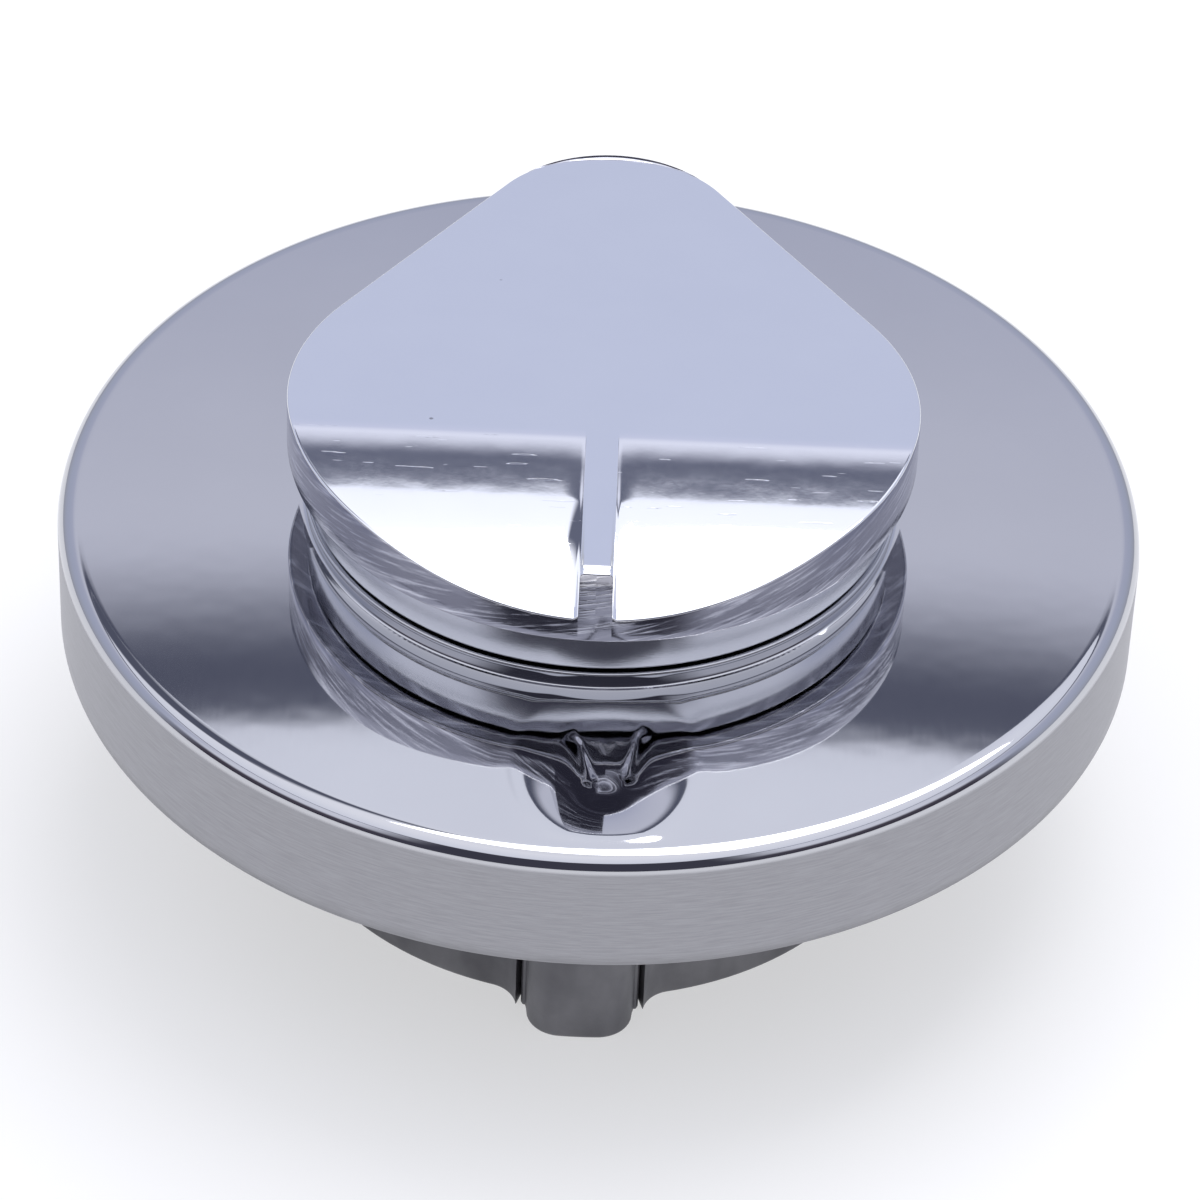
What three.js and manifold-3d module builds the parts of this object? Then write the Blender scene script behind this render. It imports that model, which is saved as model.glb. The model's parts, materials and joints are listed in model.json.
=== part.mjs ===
// A locking filler cap: a pressed steel shell with a swing-aside key cover, over a cast body that holds
// a wafer lock. Turning the key turns a scroll cam, which draws two bolts in from under the filler neck's lip.
// Millimetres, +Z up along the cap's axis, origin on the axis in the plane of the body's foot.
// The key cover's rib, the pressed V mark and the front key lug all point along -Y.
import * as THREE from "three";
import { mergeVertices } from "three/addons/utils/BufferGeometryUtils.js";
import Module from "manifold-3d";

const wasm = await Module();
wasm.setup();

// ---- driving dimensions ----
const SHELL = {
  radius: 50, skirtFoot: 23.5, thickness: 1.2, rimRadius: 1.8, rimTop: 35.7, crownRadius: 6000,
  bossRadius: 27.4, bossNeck: 27.15, bossTop: 37.6, lockHole: 12.6, pivotHole: 4.4,
};
const COVER = {
  bigRadius: 28.9, noseRadius: 11.9, noseY: 33, frontTop: 50.7, slope: 0.111, foot: 42.5, noseFoot: 38.7,
  rollStart: -8.2, rollDrop: 5.7, rollPower: 2.5, ribWidth: 2.9, hubRadius: 6.4,
  pocketRadius: 19, pocketTop: 45.6, pocketY: -1,
};
const PIVOT = { y: 34.5, pinRadius: 2.5, pinFoot: 31, pinTop: 42.2, gap: 0.25 };
const BODY = {
  radius: 29.6, bore: 26.4, flangeRadius: 42, flangeFoot: 30.7, flangeTop: 34,
  deckFoot: 16, deckTop: 19, lugReach: 35, lugWidth: 10.8, lugTop: 25.5, lugRound: 3.6,
};
const LOCK = {
  keywayWidth: 2.2, keywayHeight: 8.4, keywayFoot: 19, arrowInner: 2.2, arrowWidth: 1.4, arrowDepth: 0.7,
  ringGrooveRadius: 7.2, ringGrooveFoot: 38.6, ringGrooveTop: 40.1, threadRadius: 1.8, threadTop: 15,
  sleeveRadius: 12.2, headRadius: 14.6, headFoot: 37.9, headTop: 41.4, bore: 8.5, foot: 16.4,
  plugRadius: 8.25, plugTop: 41, tailRadius: 4.5, squareTail: 6, squareFoot: 7, tailShoulder: 10.4,
};
const CAM = { radius: 18, foot: 7.7, top: 10.1, slotWidth: 3.6 };
const BOLT = { reach: 35, inner: 10.6, width: 14, foot: 10.5, top: 14.5, pinAt: 13, travel: 5.6, pinRadius: 1.5 };
const STUD = { y: 20.5, radius: 2, nutFoot: 12.2, nutTop: 15.1, washerFoot: 15.2, washerTop: 15.8 };
const FOOT_COVER = { radius: 26.1, foot: 0.3, top: 2, screwCircle: 23, screwRadius: 1.2, screwHead: 2.7 };
const FOOT_SCREW_ANGLES = [40, 140, 220, 320];
const COLLAR = { inner: 19.5, outer: 27.1, foot: 37.9, top: 42.2 };
const GASKET = { inner: 29.9, outer: 43.5, foot: 26.4, top: 30.4 };
const BREATHER = {
  x: -9.5, y: 17, ventRadius: 2, cageRadius: 5.8, cageBore: 4.9, cageFoot: 19.3, cageTop: 26.6, cageLid: 1, topHole: 1.2,
  windowWidth: 3.2, windowFoot: 21, windowTop: 24.6, discRadius: 4.3, discFoot: 19.35, discTop: 20.3,
  springRadius: 2.6, springWire: 0.3, springFoot: 20.8, springTop: 25.1, springTurns: 4,
  filterRadius: 4.4, filterFoot: 12.9, filterTop: 15.7,
};
const WAFER = { count: 5, first: 36.2, pitch: 3.2, thick: 0.9, wide: 5.6, long: 14.6 };
const MARK = {
  y: -38.2, dishRadius: 6, depth: 0.55, strokeRadius: 0.55, strokeLength: 6.4, strokeX: 1.9, strokeLean: 17,
};
const ROUND = 56;
const SMALL_ROUND = 16;

// ---- materials ----
const material = (color, roughness, metalness) => new THREE.MeshStandardMaterial({ color, roughness, metalness });
const stainless = material(0xb9bac4, 0.25, 1);
const chrome = material(0xc9cfe0, 0.12, 1);
const castAluminium = material(0x4d4e56, 0.6, 0.9);
const zincPlated = material(0xb4b3a8, 0.35, 1);
const brass = material(0xc2a355, 0.3, 1);
const nitrile = material(0x17171a, 0.8, 0);
const nylon = material(0xd9d6cb, 0.5, 0);
const felt = material(0x8d8a80, 1, 0);

// ---- shape helpers ----
const rad = THREE.MathUtils.degToRad;

// A solid of revolution about Z from an outline of [radius, height] points, taken either way round.
function turned(outline, segments = ROUND) {
  const points = outline.map(([r, z]) => new THREE.Vector2(r, z));
  if (THREE.ShapeUtils.area(points) < 0) points.reverse();
  points.push(points[0].clone());
  return new THREE.LatheGeometry(points, segments).rotateX(Math.PI / 2);
}

const disc = (radius, foot, top, segments = SMALL_ROUND) =>
  new THREE.CylinderGeometry(radius, radius, top - foot, segments).rotateX(Math.PI / 2).translate(0, 0, (foot + top) / 2);

const ring = (inner, outer, foot, top, segments = ROUND) =>
  turned([[inner, foot], [outer, foot], [outer, top], [inner, top]], segments);

const block = (x0, x1, y0, y1, z0, z1) =>
  new THREE.BoxGeometry(x1 - x0, y1 - y0, z1 - z0).translate((x0 + x1) / 2, (y0 + y1) / 2, (z0 + z1) / 2);

const raised = (shape, foot, top, curveSegments = 12) =>
  new THREE.ExtrudeGeometry(shape, { depth: top - foot, bevelEnabled: false, curveSegments }).translate(0, 0, foot);

function hexagon(radius) {
  const corners = Array.from({ length: 6 }, (_, i) => rad(60 * i));
  return new THREE.Shape(corners.map((a) => new THREE.Vector2(radius * Math.cos(a), radius * Math.sin(a))));
}

// Booleans: geometries in, solids between, one geometry out.
function solid(geometry) {
  const bare = geometry.index ? geometry.toNonIndexed() : geometry.clone();
  bare.deleteAttribute("normal");
  bare.deleteAttribute("uv");
  const merged = mergeVertices(bare, 1e-4);
  return new wasm.Manifold(new wasm.Mesh({
    numProp: 3,
    vertProperties: merged.getAttribute("position").array,
    triVerts: new Uint32Array(merged.index.array),
  }));
}

function geometryOf(manifold) {
  const mesh = manifold.getMesh();
  return new THREE.BufferGeometry()
    .setAttribute("position", new THREE.BufferAttribute(mesh.vertProperties, 3))
    .setIndex(new THREE.BufferAttribute(mesh.triVerts, 1));
}

const join = (...geometries) => geometryOf(geometries.map(solid).reduce((a, b) => a.add(b)));
const cut = (base, ...tools) => geometryOf(tools.map(solid).reduce((a, b) => a.subtract(b), solid(base)));
const common = (a, b) => geometryOf(solid(a).intersect(solid(b)));

const cap = new THREE.Group();
function add(name, geometry, finish) {
  const mesh = new THREE.Mesh(geometry, finish);
  mesh.name = name;
  cap.add(mesh);
  return mesh;
}

// ---- shell ----
const crown = (r) =>
  SHELL.rimTop + ((SHELL.radius - SHELL.rimRadius) ** 2 - r ** 2) / (2 * SHELL.crownRadius);

// Outer face of the pressing from the lock hole to the skirt's foot; offset moves it inwards for the inner face.
function shellFace(offset) {
  const { radius, rimRadius, bossRadius, bossNeck, bossTop, lockHole, skirtFoot, rimTop } = SHELL;
  const bossFoot = bossNeck + 0.3;
  const inward = 0.8 * offset;
  const face = [
    [lockHole, bossTop - offset], [bossRadius - 0.4 - inward, bossTop - offset],
    [bossRadius - inward, bossTop - 0.3 - offset], [bossNeck - inward, crown(bossFoot) + 0.3 - offset],
  ];
  for (let i = 0; i <= 2; i++) {
    const r = bossFoot + ((radius - rimRadius - bossFoot) * i) / 2;
    face.push([r, crown(r) - offset]);
  }
  for (let i = 1; i <= 3; i++) {
    const a = rad(90 - 30 * i);
    const roll = rimRadius - offset;
    face.push([radius - rimRadius + roll * Math.cos(a), rimTop - rimRadius + roll * Math.sin(a)]);
  }
  face.push([radius - offset, skirtFoot]);
  return face;
}

function makeShell() {
  const pressing = turned([...shellFace(0), ...shellFace(SHELL.thickness).reverse()], 72);
  const surface = crown(-MARK.y);
  const dish = turned([
    [0, -MARK.depth], [0.4 * MARK.dishRadius, -0.85 * MARK.depth], [0.73 * MARK.dishRadius, -0.4 * MARK.depth],
    [MARK.dishRadius, 0.05], [MARK.dishRadius, 1.2], [0, 1.2],
  ], 20).translate(0, MARK.y, surface);
  const underside = surface - SHELL.thickness;
  const backing = disc(MARK.dishRadius + 0.4, underside - MARK.depth, underside + 0.2, 20).translate(0, MARK.y, 0);
  const strokes = [-1, 1].map((side) =>
    new THREE.CylinderGeometry(MARK.strokeRadius, MARK.strokeRadius, MARK.strokeLength, 4)
      .rotateZ(side * rad(-MARK.strokeLean))
      .translate(side * MARK.strokeX, MARK.y - 0.4, surface - MARK.depth + 0.15));
  return cut(join(pressing, backing), dish, ...strokes,
    disc(SHELL.pivotHole, 30, 40).translate(0, PIVOT.y, 0));
}

// ---- key cover ----
const coverTop = (y) => COVER.frontTop - COVER.slope * (y + COVER.bigRadius);

// A drop: a big circle on the cap's axis and a small one at noseY, joined by their tangents.
function dropShape(inset = 0) {
  const big = COVER.bigRadius - inset;
  const nose = COVER.noseRadius - inset;
  const lean = Math.asin((big - nose) / COVER.noseY);
  const shape = new THREE.Shape();
  shape.absarc(0, 0, big, Math.PI - lean, lean, false);
  shape.absarc(0, COVER.noseY, nose, lean, Math.PI - lean, false);
  shape.closePath();
  return shape;
}

// Outline, in y and z, of what lies above the rolled front, which falls ever faster below the top face.
function aboveRoll() {
  const { rollStart, rollDrop, rollPower, bigRadius } = COVER;
  const length = bigRadius + rollStart;
  const points = [];
  for (let i = 0; i <= 10; i++) {
    const run = ((length + 1) * i) / 10;
    const y = rollStart - run;
    points.push([y, coverTop(y) - rollDrop * (run / length) ** rollPower]);
  }
  return [[rollStart, 60], ...points, [-40, points.at(-1)[1]], [-40, 60]];
}

// A bar running across X, from an outline in y and z.
function crossBar(outline, x0, x1) {
  const shape = new THREE.Shape(outline.map(([y, z]) => new THREE.Vector2(y, z)));
  const bar = new THREE.ExtrudeGeometry(shape, { depth: x1 - x0, bevelEnabled: false });
  return bar.rotateY(Math.PI / 2).rotateX(Math.PI / 2).translate(x0, 0, 0);
}

function makeCover() {
  const blank = raised(dropShape(), COVER.noseFoot, 60, 40);
  const sky = crossBar([[-60, coverTop(-60)], [60, coverTop(60)], [60, 70], [-60, 70]], -40, 40);
  const half = COVER.ribWidth / 2;
  const besideRib = [crossBar(aboveRoll(), -40, -half), crossBar(aboveRoll(), half, 40)];
  const frontRelief = cut(disc(70, 30, COVER.foot, 90).translate(0, PIVOT.y, 0),
    disc(COVER.hubRadius, 20, 60, 40).translate(0, PIVOT.y, 0));
  const pocket = disc(COVER.pocketRadius, 40, COVER.pocketTop, 60).translate(0, COVER.pocketY, 0);
  const pinHole = disc(PIVOT.pinRadius + PIVOT.gap, 30, PIVOT.pinTop + 0.3).translate(0, PIVOT.y, 0);
  return cut(blank, sky, ...besideRib, frontRelief, pocket, pinHole);
}

// ---- cast body ----
function lug(side) {
  const { radius, lugReach, lugWidth, lugTop, lugRound } = BODY;
  const half = lugWidth / 2;
  const shape = new THREE.Shape();
  shape.moveTo(-half - 2.6, radius - 1.6);
  shape.quadraticCurveTo(-half, radius + 0.4, -half, radius + 1.9);
  shape.absarc(-half + lugRound, lugReach - lugRound, lugRound, Math.PI, Math.PI / 2, true);
  shape.absarc(half - lugRound, lugReach - lugRound, lugRound, Math.PI / 2, 0, true);
  shape.quadraticCurveTo(half, radius + 0.4, half + 2.6, radius - 1.6);
  shape.closePath();
  return raised(shape, 0, lugTop, 6).rotateZ(side > 0 ? 0 : Math.PI);
}

function makeBody() {
  const { radius, bore, flangeRadius, flangeFoot, flangeTop, deckFoot, deckTop } = BODY;
  const shell = turned([
    [bore, 0], [radius - 0.5, 0], [radius, 0.5], [radius, flangeFoot], [flangeRadius, flangeFoot],
    [flangeRadius, flangeTop], [bore, flangeTop], [bore, deckTop], [LOCK.sleeveRadius + 0.3, deckTop],
    [LOCK.sleeveRadius + 0.3, deckFoot], [bore, deckFoot],
  ], 64);
  const rails = [[18, 26.6], [-26.6, -18]].flatMap(([x0, x1]) => [-1, 1].map((s) =>
    block(x0, x1, Math.min(s * 7.3, s * 9.6), Math.max(s * 7.3, s * 9.6), BOLT.foot, deckFoot + 0.5)));
  const posts = FOOT_SCREW_ANGLES.map((a) =>
    disc(3.3, FOOT_COVER.top + 0.3, deckFoot + 0.5).translate(
      FOOT_COVER.screwCircle * Math.cos(rad(a)), FOOT_COVER.screwCircle * Math.sin(rad(a)), 0));
  const holes = FOOT_SCREW_ANGLES.map((a) =>
    disc(FOOT_COVER.screwRadius + 0.2, 0, 9).translate(
      FOOT_COVER.screwCircle * Math.cos(rad(a)), FOOT_COVER.screwCircle * Math.sin(rad(a)), 0));
  const slot = block(-40, 40, -BOLT.width / 2 - 0.3, BOLT.width / 2 + 0.3, BOLT.foot - 0.3, BOLT.top + 0.3);
  const studHoles = [-1, 1].map((s) => disc(STUD.radius + 0.3, 10, 25).translate(0, s * STUD.y, 0));
  const vent = disc(BREATHER.ventRadius, 10, 25).translate(BREATHER.x, BREATHER.y, 0);
  const pivotPocket = disc(6.2, 30, 36).translate(0, PIVOT.y, 0);
  return cut(join(shell, ...rails, ...posts, lug(1), lug(-1)), ...holes, slot, ...studHoles, vent, pivotPocket);
}

// ---- lock ----
function makeLockHousing() {
  const { sleeveRadius, headRadius, headFoot, headTop, bore, foot } = LOCK;
  return turned([
    [bore, foot], [sleeveRadius, foot], [sleeveRadius, headFoot], [headRadius, headFoot],
    [headRadius, headTop - 0.8], [headRadius - 0.8, headTop], [bore + 0.6, headTop], [bore, headTop - 0.6],
  ], 48);
}

function makePlug() {
  const { plugRadius, plugTop, tailRadius, squareTail, squareFoot, tailShoulder, foot } = LOCK;
  const half = squareTail / 2;
  const barrel = join(disc(plugRadius, foot - 0.6, plugTop, 40), disc(tailRadius, tailShoulder, foot, 32),
    block(-half, half, -half, half, squareFoot, tailShoulder + 0.2));
  const keyway = block(-LOCK.keywayWidth / 2, LOCK.keywayWidth / 2, -LOCK.keywayHeight / 2, LOCK.keywayHeight / 2,
    LOCK.keywayFoot, plugTop + 1);
  const arrow = block(LOCK.arrowInner, plugRadius + 1, -LOCK.arrowWidth / 2, LOCK.arrowWidth / 2,
    plugTop - LOCK.arrowDepth, plugTop + 1);
  const slots = waferHeights.map((z) =>
    block(-WAFER.wide / 2 - 0.25, WAFER.wide / 2 + 0.25, -10, 10, z - 0.25, z + WAFER.thick + 0.25));
  const thread = disc(LOCK.threadRadius, 0, LOCK.threadTop);
  const groove = ring(LOCK.ringGrooveRadius, plugRadius + 1, LOCK.ringGrooveFoot, LOCK.ringGrooveTop, 40);
  return cut(barrel, keyway, arrow, ...slots, thread, groove);
}

const waferHeights = Array.from({ length: WAFER.count }, (_, i) => WAFER.first - i * WAFER.pitch);

function makeWafer(z, index) {
  const plate = block(-WAFER.wide / 2, WAFER.wide / 2, -WAFER.long / 2, WAFER.long / 2, z, z + WAFER.thick);
  const round = disc(LOCK.plugRadius - 0.1, z - 1, z + 2, 40);
  const window = block(-1.5, 1.5, -3.6 + 0.4 * (index % 3), 2.8 + 0.4 * (index % 3), z - 1, z + 2);
  return common(cut(plate, window), round);
}

// A scroll slot whose radius falls by the bolt's travel over a quarter turn, with room for the pin at both ends.
function scrollSlot(turn) {
  const half = CAM.slotWidth / 2;
  const outer = [];
  const inner = [];
  for (let i = -1; i <= 15; i++) {
    const a = rad(turn - (90 * i) / 12);
    const r = BOLT.pinAt - (BOLT.travel * Math.min(Math.max(i, 0), 12)) / 12;
    outer.push(new THREE.Vector2((r + half) * Math.cos(a), (r + half) * Math.sin(a)));
    inner.push(new THREE.Vector2((r - half) * Math.cos(a), (r - half) * Math.sin(a)));
  }
  return raised(new THREE.Shape([...inner, ...outer.reverse()]), 0, 20);
}

function makeCam() {
  const hole = LOCK.squareTail / 2 + 0.3;
  return cut(disc(CAM.radius, CAM.foot, CAM.top, 64), scrollSlot(0), scrollSlot(180),
    block(-hole, hole, -hole, hole, 0, 20));
}

function makeBolt(side) {
  const { reach, inner, width, foot, top, pinAt, pinRadius } = BOLT;
  const half = width / 2;
  const outline = [[inner, -half + 2], [inner + 2, -half], [reach - 1.2, -half], [reach, -half + 1.2],
    [reach, half - 1.2], [reach - 1.2, half], [inner + 2, half], [inner, half - 2]];
  const plate = raised(new THREE.Shape(outline.map(([x, y]) => new THREE.Vector2(x, y))), foot, top);
  const bolt = cut(plate, disc(pinRadius + 0.15, foot - 1, top - 0.8).translate(pinAt, 0, 0));
  return side > 0 ? bolt : bolt.rotateZ(Math.PI);
}

// ---- springs: a coil about Z ----
function coil(radius, wire, foot, top, turns, steps = 10, sides = 3) {
  const points = [];
  const count = turns * steps;
  for (let i = 0; i <= count; i++) {
    const a = (2 * Math.PI * i) / steps;
    points.push(new THREE.Vector3(radius * Math.cos(a), radius * Math.sin(a), foot + ((top - foot) * i) / count));
  }
  const section = new THREE.Shape().absarc(0, 0, wire, 0, 2 * Math.PI);
  return new THREE.ExtrudeGeometry(section, {
    extrudePath: new THREE.CatmullRomCurve3(points), steps: count, curveSegments: sides, bevelEnabled: false,
  });
}

// ---- screws and nuts ----
const footScrew = () => turned([
  [0, FOOT_COVER.foot], [FOOT_COVER.screwHead, FOOT_COVER.foot], [FOOT_COVER.screwRadius, FOOT_COVER.foot + 1.5],
  [FOOT_COVER.screwRadius, 8], [0, 8.6],
], 16);

// ---- assembly ----
add("cap_shell", makeShell(), stainless);
add("key_cover", makeCover(), chrome);
add("cover_pivot_pin", turned([
  [0, PIVOT.pinFoot], [2.2, PIVOT.pinFoot], [PIVOT.pinRadius, PIVOT.pinFoot + 0.3], [PIVOT.pinRadius, 32],
  [2, 32], [2, 33.1], [PIVOT.pinRadius, 33.1], [PIVOT.pinRadius, PIVOT.pinTop], [0, PIVOT.pinTop],
], 24).translate(0, PIVOT.y, 0), zincPlated);
add("pivot_retaining_clip", cut(ring(2.2, 4.7, 32.2, 32.9, 24), block(0, 6, -1.5, 1.5, 30, 35))
  .translate(0, PIVOT.y, 0), zincPlated);
add("pivot_spring_washer", ring(2.9, 5, 33.5, 34.1, 24).translate(0, PIVOT.y, 0), zincPlated);
add("pivot_bush", turned([
  [PIVOT.pinRadius + PIVOT.gap, 34.4], [4.1, 34.4], [4.1, 36.1], [5.4, 36.1], [5.4, 38.4],
  [PIVOT.pinRadius + PIVOT.gap, 38.4],
], 24).translate(0, PIVOT.y, 0), nylon);

add("inner_body", makeBody(), castAluminium);
add("neck_gasket", turned([
  [GASKET.inner, GASKET.foot + 0.5], [GASKET.inner + 0.5, GASKET.foot], [GASKET.outer - 0.5, GASKET.foot],
  [GASKET.outer, GASKET.foot + 0.5], [GASKET.outer, GASKET.top], [GASKET.inner, GASKET.top],
]), nitrile);
add("foot_cover", cut(disc(FOOT_COVER.radius, FOOT_COVER.foot, FOOT_COVER.top, 64),
  ...FOOT_SCREW_ANGLES.map((a) => turned([
    [0, -1], [FOOT_COVER.screwHead + 0.9, -1], [FOOT_COVER.screwHead + 0.3, FOOT_COVER.foot + 0.1],
    [FOOT_COVER.screwRadius + 0.3, FOOT_COVER.foot + 1.6], [FOOT_COVER.screwRadius + 0.3, 4], [0, 4],
  ], 16).translate(FOOT_COVER.screwCircle * Math.cos(rad(a)), FOOT_COVER.screwCircle * Math.sin(rad(a)), 0))),
  zincPlated);
FOOT_SCREW_ANGLES.forEach((a, i) => add(`foot_screw_${i + 1}`, footScrew()
  .translate(FOOT_COVER.screwCircle * Math.cos(rad(a)), FOOT_COVER.screwCircle * Math.sin(rad(a)), 0), zincPlated));

[-1, 1].forEach((side, i) => {
  add(`shell_stud_${i + 1}`, disc(STUD.radius, 11, SHELL.bossTop - SHELL.thickness - 0.3, 16)
    .translate(0, side * STUD.y, 0), zincPlated);
  add(`stud_washer_${i + 1}`, ring(STUD.radius + 0.3, 4.4, STUD.washerFoot, STUD.washerTop, 20)
    .translate(0, side * STUD.y, 0), zincPlated);
  add(`stud_nut_${i + 1}`, cut(raised(hexagon(3.9), STUD.nutFoot, STUD.nutTop), disc(STUD.radius + 0.2, 0, 30))
    .translate(0, side * STUD.y, 0), zincPlated);
});

add("lock_collar", turned([
  [COLLAR.inner, COLLAR.foot], [COLLAR.outer, COLLAR.foot], [COLLAR.outer, COLLAR.top - 0.3],
  [COLLAR.outer - 0.3, COLLAR.top], [COLLAR.inner + 0.5, COLLAR.top], [COLLAR.inner, COLLAR.top - 0.5],
], 72), chrome);
add("lock_housing", makeLockHousing(), chrome);
add("lock_nut", cut(raised(hexagon(18), 32.1, 36.1), disc(LOCK.sleeveRadius + 0.25, 20, 40, 64)), zincPlated);
add("lock_plug", makePlug(), brass);
add("plug_o_ring", ring(7.35, 8.2, 38.75, 39.9, 40), nitrile);
waferHeights.forEach((z, i) => add(`wafer_${i + 1}`, makeWafer(z, i), brass));
add("plug_retaining_ring", ring(LOCK.tailRadius + 0.3, 9.9, 14.9, 15.5, 40), zincPlated);
add("bolt_cam", makeCam(), zincPlated);
add("cam_lock_washer", ring(2.1, 4.6, 6.2, 6.8, 24), zincPlated);
add("cam_screw", turned([[0, 3.4], [3.6, 3.4], [3.9, 3.8], [3.9, 6], [1.6, 6], [1.6, 13], [0, 13]], 24), zincPlated);
[1, -1].forEach((side, i) => {
  const name = ["right", "left"][i];
  add(`latch_bolt_${name}`, makeBolt(side), zincPlated);
  add(`bolt_pin_${name}`, disc(BOLT.pinRadius, CAM.foot + 0.2, BOLT.top - 1.1, 16)
    .translate(side * BOLT.pinAt, 0, 0), zincPlated);
});

const atBreather = (geometry) => geometry.translate(BREATHER.x, BREATHER.y, 0);
const { cageRadius, cageBore, cageFoot, cageTop, cageLid, topHole } = BREATHER;
const windowHalf = BREATHER.windowWidth / 2;
add("breather_cage", atBreather(cut(
  turned([[cageBore, cageFoot], [cageRadius, cageFoot], [cageRadius, cageTop], [topHole, cageTop],
    [topHole, cageTop - cageLid], [cageBore, cageTop - cageLid]], 28),
  block(-8, 8, -windowHalf, windowHalf, BREATHER.windowFoot, BREATHER.windowTop),
  block(-windowHalf, windowHalf, -8, 8, BREATHER.windowFoot, BREATHER.windowTop))), brass);
add("breather_disc", atBreather(disc(BREATHER.discRadius, BREATHER.discFoot, BREATHER.discTop, 28)), nitrile);
add("breather_spring", atBreather(coil(BREATHER.springRadius, BREATHER.springWire, BREATHER.springFoot,
  BREATHER.springTop, BREATHER.springTurns)), stainless);
add("breather_filter", atBreather(disc(BREATHER.filterRadius, BREATHER.filterFoot, BREATHER.filterTop, 24)), felt);

export default cap;
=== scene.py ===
"""Looks of a locking filler cap: polished shell, plated key cover, rough cast body, and the lock inside."""

import json
import math

import bmesh
import bpy
from mathutils import Matrix, Vector


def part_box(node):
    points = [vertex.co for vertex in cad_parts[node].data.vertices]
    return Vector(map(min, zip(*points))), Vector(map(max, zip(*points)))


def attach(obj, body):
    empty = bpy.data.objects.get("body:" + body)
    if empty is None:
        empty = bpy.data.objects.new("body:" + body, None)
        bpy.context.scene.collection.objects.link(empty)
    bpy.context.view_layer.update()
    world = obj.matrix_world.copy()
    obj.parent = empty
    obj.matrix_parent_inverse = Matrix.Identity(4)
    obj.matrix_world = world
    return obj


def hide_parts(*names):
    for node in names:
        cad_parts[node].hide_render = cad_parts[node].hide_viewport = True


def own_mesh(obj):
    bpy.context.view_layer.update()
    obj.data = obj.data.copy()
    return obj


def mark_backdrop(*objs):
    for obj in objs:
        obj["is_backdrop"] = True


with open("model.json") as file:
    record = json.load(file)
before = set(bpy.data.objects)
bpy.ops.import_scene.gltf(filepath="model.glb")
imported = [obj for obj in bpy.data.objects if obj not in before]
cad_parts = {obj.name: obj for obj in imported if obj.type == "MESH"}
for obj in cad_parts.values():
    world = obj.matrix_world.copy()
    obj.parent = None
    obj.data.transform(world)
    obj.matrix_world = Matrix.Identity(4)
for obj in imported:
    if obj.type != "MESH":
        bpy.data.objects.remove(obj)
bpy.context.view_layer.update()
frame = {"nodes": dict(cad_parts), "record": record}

MM = 0.001
TURN = 2 * math.pi
ON_AXIS = 0.0001 * MM

# ---- places and sizes that the frame gives ----
SHELL_LOW, SHELL_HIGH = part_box("cap_shell")
COVER_LOW, COVER_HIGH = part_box("key_cover")
BODY_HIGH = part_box("inner_body")[1]
LOCK_LOW, LOCK_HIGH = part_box("lock_housing")
BOLT_LOW, BOLT_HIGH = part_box("latch_bolt_right")
GASKET_LOW, GASKET_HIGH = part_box("neck_gasket")
PIN_LOW, PIN_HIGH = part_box("cover_pivot_pin")

SHELL_RADIUS = SHELL_HIGH.x
COVER_RADIUS = COVER_HIGH.x
PIVOT_Y = (PIN_LOW.y + PIN_HIGH.y) / 2


# ---- mesh helpers ----
def mesh_piece(name, vertices, faces, sharp=40):
    """A named mesh with outward faces, smooth but for the edges that bend more than sharp degrees."""
    mesh = bpy.data.meshes.new(name)
    mesh.from_pydata([tuple(v) for v in vertices], [], faces)
    return settle(name, mesh, sharp)


def settle(name, mesh, sharp):
    """The mesh welded and shaded, linked into the scene as a piece."""
    work = bmesh.new()
    work.from_mesh(mesh)
    bmesh.ops.remove_doubles(work, verts=work.verts, dist=1e-7)
    bmesh.ops.recalc_face_normals(work, faces=work.faces)
    work.normal_update()
    limit = math.radians(sharp)
    for face in work.faces:
        face.smooth = True
    for edge in work.edges:
        edge.smooth = len(edge.link_faces) == 2 and edge.calc_face_angle(0) < limit
    work.to_mesh(mesh)
    work.free()
    mesh.validate()
    piece = bpy.data.objects.new(name, mesh)
    bpy.context.scene.collection.objects.link(piece)
    return piece


def grid_faces(rows, columns, wrap_rows=False, wrap_columns=False):
    """Quads of a grid of points kept row by row."""
    faces = []
    for row in range(rows if wrap_rows else rows - 1):
        below = (row + 1) % rows
        for column in range(columns if wrap_columns else columns - 1):
            right = (column + 1) % columns
            faces.append((row * columns + column, row * columns + right,
                          below * columns + right, below * columns + column))
    return faces


def turned(name, outline, segments=96, sharp=40, centre=(0, 0), closed=True):
    """A solid of revolution about a vertical axis, from points (radius, height) in metres."""
    points = []
    for radius, height in outline:
        for step in range(segments):
            angle = TURN * step / segments
            points.append((centre[0] + radius * math.cos(angle), centre[1] + radius * math.sin(angle), height))
    return mesh_piece(name, points, grid_faces(len(outline), segments, closed, True), sharp)


def eased(outline, size, steps=3):
    """The closed outline with each corner rounded off by about size."""
    rounded = []
    count = len(outline)
    for index, corner in enumerate(outline):
        corner = Vector(corner)
        before = Vector(outline[index - 1]) - corner
        after = Vector(outline[(index + 1) % count]) - corner
        reach = min(size, before.length * 0.45, after.length * 0.45)
        start = corner + before.normalized() * reach
        end = corner + after.normalized() * reach
        for step in range(steps + 1):
            t = step / steps
            rounded.append(tuple(start * (1 - t) ** 2 + corner * (2 * t * (1 - t)) + end * t ** 2))
    return rounded


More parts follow.
